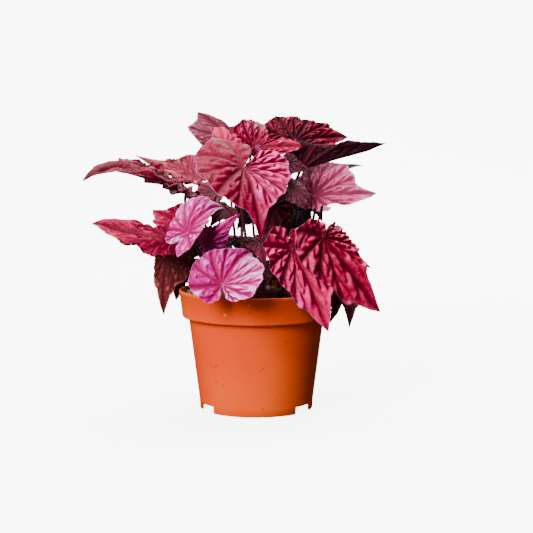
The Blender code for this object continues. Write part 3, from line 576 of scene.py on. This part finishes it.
class Nodes:
    """Short calls that add shader nodes to a new material or world."""

    def __init__(self, name, kind=bpy.data.materials):
        self.owner = kind.new(name)
        self.owner.use_nodes = True
        self.tree = self.owner.node_tree

    def add(self, kind, output, inputs, **settings):
        """Output of a new node, whose inputs are values or other nodes' outputs."""
        made = self.tree.nodes.new("ShaderNode" + kind)
        for key, value in settings.items():
            setattr(made, key, value)
        for key, source in inputs.items():
            self.join(source, made.inputs[key])
        return made.outputs[output]

    def join(self, source, socket):
        if hasattr(source, "links"):
            self.tree.links.new(source, socket)
        else:
            socket.default_value = source

    def value(self, name, output="Fac"):
        return self.add("Attribute", output, {}, attribute_name=name)

    def place(self):
        return self.add("TexCoord", "Object", {})

    def math(self, operation, a, b=0, c=0):
        return self.add("Math", 0, {0: a, 1: b, 2: c}, operation=operation)

    def times(self, a, b):
        return self.math("MULTIPLY", a, b)

    def span(self, source, low, high, start=0, end=1):
        inputs = {"Value": source, "From Min": low, "From Max": high, "To Min": start, "To Max": end}
        return self.add("MapRange", "Result", inputs, interpolation_type="SMOOTHSTEP")

    def mix(self, factor, a, b):
        return self.add("Mix", 2, {0: factor, 6: a, 7: b}, data_type="RGBA", clamp_factor=True)

    def coats(self, colour, *others):
        """The colour under coats of others, each with its share and its strength."""
        for other, share, strength in others:
            colour = self.mix(self.times(share, strength), colour, other)
        return colour

    def noise(self, where, scale, detail=3, rough=0.5, distort=0):
        inputs = {"Vector": where, "Scale": scale, "Detail": detail, "Roughness": rough}
        return self.add("TexNoise", "Fac", dict(inputs, Distortion=distort))

    def cells(self, where, scale):
        return self.add("TexVoronoi", "Distance", {"Vector": where, "Scale": scale})

    def polar(self, spoke, reach, across, along):
        return self.add("CombineXYZ", 0, {0: self.times(spoke, across), 1: self.times(reach, along)})

    def bump(self, height, strength, distance, **below):
        return self.add("Bump", "Normal", dict(Height=height, Strength=strength, Distance=distance, **below))

    def finish(self, **inputs):
        shader = self.tree.nodes["Principled BSDF"]
        for key, source in inputs.items():
            self.join(source, shader.inputs[LABELS.get(key, key.capitalize())])
        return self.owner


# Names of the shader's sockets that aren't the argument's own word with a capital
LABELS = {"base_color": "Base Color", "specular": "Specular IOR Level",
          "emission_color": "Emission Color", "emission_strength": "Emission Strength"}


def leaf_material(tone):
    """Puckered blade: dark sunken veins, valleys partly in painted shade, ridges paler with painted
    highlights, sheen and glints, painted shade on folds turned from the painted light, an edge of its own
    colour and a darker underside.
    """
    deep, middle, light, edge, under = (srgb(*c) for c in TONES[tone])
    n = Nodes("leaf_" + tone)
    where = n.value("blade", "Vector")
    relief = n.value("relief")
    main_gap = n.value("main_gap")
    branch_gap = n.value("branch_gap")
    reach = n.value("reach")
    spoke = n.value("spoke")
    lit = n.value("lit")
    # Each half's painted light and shade: above nought more painted highlight, below nought painted shade
    paler = n.value("pale")
    sheen_drift = n.noise(where, 0.06, 2)
    mottle = n.noise(where, 0.5, 4, 0.65)
    streak = n.noise(n.polar(spoke, reach, 5, 0.16), 1, 3, 0.6, 0.4)
    wrinkle = n.noise(n.polar(spoke, reach, 1.3, 1.1), 1, 3, 0.6, 0.6)
    grain = n.cells(where, 1.5)
    ridge = n.math("ADD", relief, n.math("MULTIPLY_ADD", mottle, 0.9, -0.45))
    ridge = n.math("ADD", ridge, n.math("MULTIPLY_ADD", streak, 0.3, -0.15))
    net = n.math("MAXIMUM", n.span(grain, 0.42, 0.7), n.span(n.cells(where, 0.45), 0.5, 0.8))
    # Painted highlight and sheen: the ridge colour on the high ridges and in broad drifting patches, mostly
    # where folds face the painted light
    sheen_patch = n.math("MULTIPLY_ADD", sheen_drift, 2, n.math("ADD", paler, -1))
    high = n.math("ADD", n.span(ridge, 0.62, 1.2), sheen_patch)
    high = n.times(high, n.span(lit, -0.3, 0.2, 0.1, 1))
    high = n.times(high, n.span(paler, -0.6, 0, 0.2, 1))
    # Painted glints on the ridges' slopes that face the painted light
    painted_glint = n.times(n.span(lit, 0.12, 0.5), n.span(ridge, 0.3, 0.8, 0.2, 1))
    painted_glint = n.times(painted_glint, n.span(mottle, 0.35, 0.6, 0.4, 1.2))
    # Painted shade: a painted shadow beside the sunken main veins, and each half's painted shade
    vein_side_shadow = n.span(main_gap, 0.8, 2.6, 0.45, 0)
    shade = n.math("MAXIMUM", n.span(paler, -0.2, -0.7, 0, 0.9), vein_side_shadow)
    vein = n.math("MAXIMUM", n.span(main_gap, 0.3, 0.9, 1, 0), n.span(branch_gap, 0.1, 0.55, 0.6, 0))
    # Valleys go towards the valley colour: partly the veins' own dark colour, partly painted shade in the
    # creases
    above = n.coats(n.mix(n.span(ridge, 0.1, 0.6), deep, middle),
                    (deep, n.span(wrinkle, 0.52, 0.7), 0.25),
                    (deep, net, 0.5),
                    (light, high, 0.9),
                    (light, painted_glint, 0.5),
                    # Painted shade on the folds turned away from the painted light
                    (deep, n.span(lit, -0.02, -0.35), 0.85),
                    (deep, shade, n.span(mottle, 0.3, 0.6, 0.4, 1)),
                    (deep, vein, 0.8),
                    (edge, n.span(n.value("zone"), 0.986, 0.996), 0.5))
    below = n.coats(under,
                    (n.mix(0.5, under, light), vein, 0.6),
                    (deep, n.span(mottle, 0.4, 0.7), 0.35),
                    # Painted shade on the underside's folds turned away from the painted light
                    (deep, n.span(lit, 0, -0.4), 0.5))
    colour = n.mix(n.span(n.value("upper"), 0.35, 0.65), below, above)
    shine = n.math("ADD", 0.24, n.times(mottle, 0.26))
    tiny = n.bump(grain, 0.22, 0.0004)
    fold = n.bump(n.math("ADD", wrinkle, n.times(mottle, 1.2)), 0.5, 0.0008, Normal=tiny)
    return n.finish(base_color=colour, roughness=shine, normal=fold, specular=0.1)


def pot_material():
    """Satin moulded plastic with a fine grain, dirt specks and pale splashes."""
    n = Nodes("terracotta_plastic")
    where = n.place()
    broad = n.noise(where, 14, 3)
    fine = n.noise(where, 900, 2)
    specks = n.span(n.cells(where, 210), 0.08, 0.2, 1, 0)
    rare = n.span(n.noise(where, 46, 1), 0.62, 0.66)
    splash = n.span(n.cells(where, 110), 0.06, 0.16, 1, 0)
    few = n.span(n.noise(where, 22, 1), 0.6, 0.65)
    colour = n.coats(n.mix(n.span(broad, 0.35, 0.7), srgb(236, 68, 0), srgb(248, 88, 4)),
                     (srgb(110, 52, 30), n.times(specks, rare), 0.8),
                     (srgb(240, 190, 160), n.times(splash, few), 0.5))
    shine = n.math("ADD", 0.3, n.times(broad, 0.16))
    relief = n.bump(fine, 0.12, 0.0002)
    return n.finish(base_color=colour, roughness=shine, normal=relief, specular=0.2)


def soil_material():
    """Peat with paler flecks, and the straw and moss threads that lie on it."""
    n = Nodes("peat")
    where = n.place()
    broad = n.noise(where, 120, 5, 0.7)
    fine = n.noise(where, 900, 4, 0.7)
    colour = n.mix(n.span(broad, 0.35, 0.65), srgb(24, 15, 12), srgb(58, 40, 30))
    colour = n.mix(n.span(fine, 0.62, 0.75), colour, srgb(104, 78, 58))
    kind = n.value("kind")
    straw = n.mix(fine, srgb(150, 120, 66), srgb(224, 202, 146))
    moss = n.mix(fine, srgb(40, 44, 16), srgb(92, 84, 34))
    colour = n.mix(n.span(kind, 0.2, 0.8), colour, straw)
    colour = n.mix(n.span(kind, 1.2, 1.8), colour, moss)
    relief = n.bump(fine, 0.8, 0.001)
    return n.finish(base_color=colour, roughness=0.9, normal=relief)


def stalk_material():
    """Fleshy stalks, brown at the root and redder towards the blade, with dark patches and pale flecks."""
    n = Nodes("stalk_skin")
    where = n.place()
    along = n.value("along")
    broad = n.noise(where, 90, 3)
    colour = n.mix(n.span(along, 0, 1), srgb(84, 44, 34), srgb(120, 44, 54))
    colour = n.mix(n.span(broad, 0.4, 0.75), colour, srgb(56, 18, 28))
    flecks = n.span(n.cells(where, 1100), 0.1, 0.3, 1, 0)
    colour = n.mix(n.times(flecks, 0.25), colour, srgb(206, 160, 150))
    relief = n.bump(n.noise(where, 1500, 3), 0.4, 0.0004)
    return n.finish(base_color=colour, roughness=0.42, normal=relief, specular=0.25)


def plain_stage_material():
    """Pale studio surface with a glow of its own, so that the backdrop comes out nearly white."""
    n = Nodes("studio_white")
    where = n.place()
    colour = n.mix(n.noise(where, 3, 2), srgb(244, 244, 245), srgb(248, 248, 248))
    return n.finish(base_color=colour, roughness=0.8, specular=0.1, emission_strength=6,
                    emission_color=(1, 1, 1, 1))


def wall_radius(height):
    """Inner radius of the pot's wall at a height, in millimetres."""
    if height > LEDGE:
        low = RIM_LOW_RADIUS - WALL
        share = (height - LEDGE) / (RIM_BAND - LIP_RADIUS)
        return low + (RIM_TOP_RADIUS - 2 * LIP_RADIUS - low) * share
    share = (height - FOOT_HEIGHT) / (LEDGE - FOOT_HEIGHT)
    return BODY_LOW_RADIUS + (BODY_TOP_RADIUS - BODY_LOW_RADIUS) * share - WALL


def arc(centre, radius, start, end, count):
    """Points on an arc about a centre, with its angles in degrees."""
    turns = np.radians(np.linspace(start, end, count))
    return [(centre[0] + radius * math.cos(a), centre[1] + radius * math.sin(a)) for a in turns]


def on_circle(radius, turn, height):
    """Place in metres at a radius, a turn about the pot's axis and a height."""
    return radius * math.cos(turn) * MM, radius * math.sin(turn) * MM, height * MM


def build_pot():
    """Pot turned from its profile, with a rounded lip, a step under the band, three feet and drain holes."""
    pad = PAD_RADIUS + PAD_SLOPE
    foot_inner = BODY_LOW_RADIUS - FOOT_WALL
    profile = [(0, WALL), (PAD_RADIUS, WALL), (pad, POT_FLOOR), (wall_radius(POT_FLOOR), POT_FLOOR)]
    profile += [(wall_radius(LEDGE - WALL), LEDGE - WALL), (wall_radius(LEDGE + WALL), LEDGE + WALL)]
    profile += arc((RIM_TOP_RADIUS - LIP_RADIUS, POT_HEIGHT - LIP_RADIUS), LIP_RADIUS, 180, 0, 9)
    profile += [(RIM_TOP_RADIUS - BEAD_TAPER, POT_HEIGHT - BEAD_DEPTH),
                (RIM_TOP_RADIUS - BEAD_TAPER - BEAD_STEP, POT_HEIGHT - BEAD_DEPTH - BEAD_STEP)]
    profile += arc((RIM_LOW_RADIUS - 1.0, LEDGE + 1.2), BAND_ROUNDING, 8, -84, 6)
    profile += [(BODY_TOP_RADIUS + 0.6, LEDGE - 0.05), (BODY_TOP_RADIUS + 0.05, LEDGE - 0.6),
                (BODY_TOP_RADIUS - 0.15, LEDGE - 1.6), (BODY_LOW_RADIUS + 0.1, FOOT_HEIGHT + 1),
                (BODY_LOW_RADIUS - 0.35, 0.4), (BODY_LOW_RADIUS - 0.7, 0), (foot_inner, 0),
                (foot_inner, FOOT_HEIGHT), (pad, FOOT_HEIGHT), (PAD_RADIUS, 0), (0, 0)]
    mesh = bpy.data.meshes.new("pot_profile")
    edges = [(i, i + 1) for i in range(len(profile) - 1)]
    mesh.from_pydata([(r * MM, 0, z * MM) for r, z in profile], edges, [])
    pot = new_object("nursery_pot", mesh)
    screw = pot.modifiers.new("turn", "SCREW")
    screw.steps = POT_STEPS
    screw.render_steps = POT_STEPS
    screw.use_merge_vertices = True
    screw.merge_threshold = 0.01 * MM
    cutters = []
    for degrees in NOTCH_ANGLES:
        turn = math.radians(degrees)
        bpy.ops.mesh.primitive_cube_add(size=1)
        cutter = bpy.context.object
        cutter.scale = (NOTCH_LENGTH * MM, NOTCH_WIDTH * MM, 2 * FOOT_HEIGHT * MM)
        cutter.location = on_circle(BODY_LOW_RADIUS, turn, NOTCH_HEIGHT - FOOT_HEIGHT)
        cutter.rotation_euler.z = turn
        cutters.append(cutter)
    for index in range(DRAIN_COUNT):
        turn = 2 * math.pi * (index + 0.5) / DRAIN_COUNT
        bpy.ops.mesh.primitive_cylinder_add(vertices=30, radius=DRAIN_RADIUS * MM, depth=CUT_DEPTH * MM)
        cutter = bpy.context.object
        cutter.location = on_circle(DRAIN_CIRCLE, turn, FOOT_HEIGHT)
        cutters.append(cutter)
    for cutter in cutters:
        boolean = pot.modifiers.new("cut", "BOOLEAN")
        boolean.object = cutter
    pot = apply_modifiers(pot)
    for cutter in cutters:
        bpy.data.objects.remove(cutter)
    pot.data.shade_smooth()
    pot.data.set_sharp_from_angle(angle=math.radians(40))
    return pot


def apply_modifiers(made):
    """Swap an object's modifiers for the mesh that they give."""
    bpy.context.view_layer.update()
    mesh = bpy.data.meshes.new_from_object(made.evaluated_get(bpy.context.evaluated_depsgraph_get()))
    made.modifiers.clear()
    made.data = mesh
    return made


def rhizome_point(share):
    """Point on the rhizome's axis, in millimetres."""
    stations = np.linspace(0, 1, len(RHIZOME))
    route = np.array(RHIZOME, float)
    return np.array([curve_through(np.array([share]), stations, route[:, i])[0] for i in range(3)])


def stalk_path(spec, count):
    """Centre line of a leaf stalk, from the rhizome's axis to the blade, in millimetres."""
    near = 0.02
    hub, ahead, left, right = leaf_points(spec, [0, 0, 90, -90], [0, near, near, near])
    normal = np.cross(ahead - hub, left - right)
    normal /= np.linalg.norm(normal)
    droop = math.radians(max(0, -min(spec["fold"])))
    clear = BLADE_THICKNESS / 2 + TOUCH_GAP + STALK_TIP_RADIUS * math.tan(droop) + STALK_SLACK
    end = hub - normal * clear
    root = rhizome_point(min(max(0.5 + hub[0] / LEAF_SPREAD, 0.04), 0.96))
    length = np.linalg.norm(end - root)
    lean = spec["lean"]
    if lean is None:
        lean = (0.25 * (hub[0] - root[0]), 0.25 * (hub[1] - root[1]), 0.45 * length)
    rise = root + np.array(lean)
    arrive = end - normal * spec["reach"] * length
    t = np.linspace(0, 1, count)[:, None]
    path = (1 - t)**3 * root + 3 * (1 - t)**2 * t * rise + 3 * (1 - t) * t**2 * arrive + t**3 * end
    if spec["via"] is not None:
        middle = (root + 3 * rise + 3 * arrive + end) / 8
        path = path + 4 * t * (1 - t) * (np.array(spec["via"]) - middle)
    return np.concatenate([path, [hub - normal * STALK_END]])


def ring_faces(count, sides):
    """Triangles between rings of points, with a fan at each end round the two points that come last."""
    faces = []
    for a in range((count - 1) * sides):
        b = a + 1 if (a + 1) % sides else a + 1 - sides
        faces += [(a, b, b + sides), (a, b + sides, a + sides)]
    hub = count * sides
    last = hub - sides
    for j in range(sides):
        after = (j + 1) % sides
        faces += [(hub, after, j), (hub + 1, last + j, last + after)]
    return np.array(faces)


def tube(path, radii, sides, knobs=0.0, seed=0):
    """Points and triangles of a capped round tube along a path."""
    path = np.asarray(path, float)
    run = np.gradient(path, axis=0)
    run /= np.linalg.norm(run, axis=1)[:, None]
    side = np.cross(run[0], (0.3, 0.9, 0.2))
    rings = []
    turns = np.linspace(0, 2 * np.pi, sides, endpoint=False)
    for i, (place, way, radius) in enumerate(zip(path, run, radii)):
        side = side - side.dot(way) * way
        side /= np.linalg.norm(side)
        other = np.cross(way, side)
        rough = 1 + knobs * value_noise(turns * 1.5, np.full(sides, i * 0.6), seed)
        around = np.cos(turns)[:, None] * side + np.sin(turns)[:, None] * other
        rings.append(place + (radius * rough)[:, None] * around)
    return np.concatenate(rings + [path[:1], path[-1:]]), ring_faces(len(rings), sides)


def join_pieces(name, key, pieces):
    """Mesh object from pieces of points, triangles and a value, which each point keeps under the key."""
    points, faces, values = zip(*pieces)
    sizes = [len(p) for p in points]
    starts = np.cumsum([0] + sizes)
    faces = [f + first for f, first in zip(faces, starts)]
    values = [np.broadcast_to(v, size) for v, size in zip(values, sizes)]
    return make_mesh(name, np.concatenate(points), np.concatenate(faces), {key: np.concatenate(values)})


def build_stems():
    """Rhizome, and leaf stalks with short bristles."""
    rng = np.random.default_rng(7)
    shares = np.linspace(0, 1, 60)
    path = np.array([rhizome_point(share) for share in shares])
    ends = np.sqrt(1 - np.abs(2 * shares - 1) ** 6) * 0.75 + 0.25
    radii = RHIZOME_RADIUS * ends * (1 + 0.1 * np.sin(shares * 23))
    pieces = [(*tube(path, radii, 24, 0.12, 5), 0.0)]
    for spec in LEAVES:
        path = stalk_path(spec, 26)
        t = np.linspace(0, 1, len(path))
        radii = STALK_ROOT_RADIUS + (STALK_TIP_RADIUS - STALK_ROOT_RADIUS) * t**0.7
        radii = radii * (SMALL_STALK if spec["small"] else 1)
        along = np.repeat(t, STALK_SIDES).tolist() + [0, 1]
        pieces.append((*tube(path, radii, STALK_SIDES), along))
        run = np.gradient(path, axis=0)
        for _ in range(BRISTLES):
            place = rng.random() * (len(path) - 3) + 1
            i = int(place)
            centre = path[i] + (place - i) * (path[i + 1] - path[i])
            way = run[i] / np.linalg.norm(run[i])
            out = rng.normal(size=3)
            out -= out.dot(way) * way
            out /= np.linalg.norm(out)
            foot = centre + out * radii[i] * 0.9
            tip = foot + (out + way * rng.normal() * 0.4) * (0.7 + 0.8 * rng.random())
            side = np.cross(out, way) * BRISTLE_HALF_WIDTH
            spike = np.array([foot + side, foot - side, foot + way * 0.15, tip])
            pieces.append((spike, np.array([(0, 1, 3), (1, 2, 3), (2, 0, 3), (0, 2, 1)]), 1.0))
    return join_pieces("begonia_stems", "along", pieces)


def soil_relief(x, y):
    """Height in millimetres of the potting mix's crumbly surface over its plain crown."""
    a = np.sin(0.19 * x + 1.3) * np.sin(0.23 * y + 0.4)
    b = np.sin(0.41 * x - 0.27 * y + 2.1)
    return 0.9 * a + 0.5 * b


def lump(rng, centre, size, flat=0.7):
    """Points and triangles of a small rough crumb."""
    mesh = bmesh.new()
    bmesh.ops.create_icosphere(mesh, subdivisions=1, radius=1)
    points = np.array([v.co for v in mesh.verts])
    faces = np.array([[v.index for v in f.verts] for f in mesh.faces])
    mesh.free()
    points = points * (0.7 + 0.6 * rng.random((len(points), 1)))
    turn = np.linalg.qr(rng.normal(size=(3, 3)))[0]
    if np.linalg.det(turn) < 0:
        turn[0] *= -1
    points = points @ turn * np.array([1, 1, flat]) * size + centre
    return points, faces


def build_soil():
    """Potting mix: a crumbly crown with loose crumbs on it, and plain sides inside the pot."""
    rng = np.random.default_rng(11)
    floor = POT_FLOOR + TOUCH_GAP
    rings = []
    turns = np.linspace(0, 2 * np.pi, SOIL_SIDES, endpoint=False)
    edge = wall_radius(SOIL_EDGE) - TOUCH_GAP / 2
    for share in np.linspace(0.02, 1, 52):
        x = share * edge * np.cos(turns)
        y = share * edge * np.sin(turns)
        z = SOIL_CROWN - (SOIL_CROWN - SOIL_EDGE) * share**2 + soil_relief(x, y) * (share < 0.97)
        crumb = value_noise(x / 2.4, y / 2.4, 21) + 0.6 * value_noise(x / 1.1, y / 1.1, 22)
        rings.append(np.stack([x, y, z + 0.7 * crumb], -1))
    for radius, height in ((wall_radius(LEDGE + WALL), LEDGE + WALL + TOUCH_GAP),
                           (wall_radius(LEDGE - WALL), LEDGE - WALL + TOUCH_GAP),
                           (wall_radius(floor), floor), (PAD_RADIUS + PAD_SLOPE, floor),
                           (PAD_RADIUS, WALL + TOUCH_GAP)):
        radius -= TOUCH_GAP
        level = np.full(SOIL_SIDES, height)
        rings.append(np.stack([radius * np.cos(turns), radius * np.sin(turns), level], -1))
    ends = [[[0, 0, SOIL_CROWN + soil_relief(0, 0)]], [[0, 0, WALL + TOUCH_GAP]]]
    pieces = [(np.concatenate(rings + ends), ring_faces(len(rings), SOIL_SIDES)[:, ::-1], 0.0)]
    for _ in range(CRUMBS):
        turn = rng.random() * 2 * np.pi
        out = (edge - 1.5) * math.sqrt(rng.random())
        x = out * math.cos(turn)
        y = out * math.sin(turn)
        z = SOIL_CROWN - (SOIL_CROWN - SOIL_EDGE) * (out / edge) ** 2 + soil_relief(x, y)
        size = 0.5 + 1.2 * rng.random() ** 2
        pieces.append((*lump(rng, (x, y, z + 0.2), size), 0.0))
    for i in range(THREADS):
        turn = math.radians(THREAD_TURN + THREAD_SPREAD * rng.normal())
        out = edge - 1 - 13 * rng.random() ** 1.6
        start = np.array([out * math.cos(turn), out * math.sin(turn), SOIL_EDGE + 1.5])
        way = rng.normal(size=3) + (0, 0, 0.9)
        length = 2.5 + 9.5 * rng.random() ** 2
        t = np.linspace(0, 1, 7)[:, None]
        path = start + length * t * way / np.linalg.norm(way)
        path = path + length * (0.9 * t - 1.1 * t**2) * np.array([0, 0, 1])
        path = path + 0.5 * rng.normal(size=3) * np.sin(3 * t)
        far = np.linalg.norm(path[:, :2], axis=1)
        path[:, :2] *= (np.minimum(far, edge + 1.2) / far)[:, None]
        straw = i % 5 < 3
        radii = np.linspace(0.26, 0.1, 7) * (1.1 if straw else 1.7)
        pieces.append((*tube(path, radii, 5), 1.0 if straw else 2.0))
    return join_pieces("potting_mix", "kind", pieces)


# Camera
camera = new_object("camera", bpy.data.cameras.new("camera"))
camera.location = CAMERA_AT
camera.rotation_euler = (math.radians(90 - CAMERA_PITCH), 0, 0)
camera.data.sensor_width = SENSOR_WIDTH
camera.data.lens = SENSOR_WIDTH * FOCAL_PIXELS / IMAGE_PIXELS
camera.data.clip_start = 0.05
camera.data.clip_end = 30
bpy.context.scene.camera = camera


def settle(piece, node, look):
    """Give a piece its material and its place in the part."""
    piece.data.materials.clear()
    piece.data.materials.append(look)
    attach(piece, "root")
    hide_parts(node)


settle(build_pot(), "pot", pot_material())
settle(build_soil(), "soil", soil_material())
settle(build_stems(), "stems", stalk_material())
looks = {tone: leaf_material(tone) for tone in TONES}
for index, spec in enumerate(LEAVES):
    settle(fine_blade(spec, index), "leaf_" + spec["name"], looks[spec["tone"]])

# Studio: a pale floor that curves up into a backdrop, in metres
FLOOR_FRONT = -0.6
FLOOR_BACK = 1.2
FLOOR_SIDE = 1.3
FLOOR_DROP = 0.0002
SWEEP_RADIUS = 0.9
BACKDROP_TOP = 1.4
sweep = [(FLOOR_FRONT, 0.0)] + arc((FLOOR_BACK, SWEEP_RADIUS), SWEEP_RADIUS, -90, 0, 16)
sweep += [(FLOOR_BACK + SWEEP_RADIUS, BACKDROP_TOP)]
stage_points = np.array([(x, y, z - FLOOR_DROP) for y, z in sweep for x in (-FLOOR_SIDE, FLOOR_SIDE)]) / MM
stage_faces = np.array([(2 * i, 2 * i + 1, 2 * i + 3, 2 * i + 2) for i in range(len(sweep) - 1)])
stage = make_mesh("studio_sweep", stage_points, stage_faces)
stage.data.materials.append(plain_stage_material())
stage.visible_diffuse = False
stage.visible_glossy = False

# World: brightest at the upper front left, in the directions that have most of SKY_SIDE
SKY_SIDE = (-0.55, -0.7, 0.45)
world = Nodes("studio", bpy.data.worlds)
bpy.context.scene.world = world.owner
around = world.add("TexCoord", "Generated", {})
toward = world.add("VectorMath", "Value", {0: around, 1: SKY_SIDE}, operation="DOT_PRODUCT")
background = world.tree.nodes["Background"].inputs
world.join(world.span(toward, -0.5, 0.9, 0.03, 0.36), background["Strength"])
world.join((1, 1, 1, 1), background["Color"])


def area_light(name, place, aim, size, power):
    """Soft square light."""
    made = new_object(name, bpy.data.lights.new(name, "AREA"))
    made.data.size = size
    made.data.energy = power
    made.location = place
    made.rotation_euler = (Vector(aim) - Vector(place)).to_track_quat("-Z", "Y").to_euler()


area_light("key", (-0.95, -1.4, 1.05), (0, 0, 0.14), 1.0, 76)
area_light("rear", (0.5, 1.3, 1.0), (0, 0, 0.12), 0.8, 22)
area_light("backdrop_light", (0.0, 1.0, 2.4), (0, 2.0, 0.3), 2.0, 160)
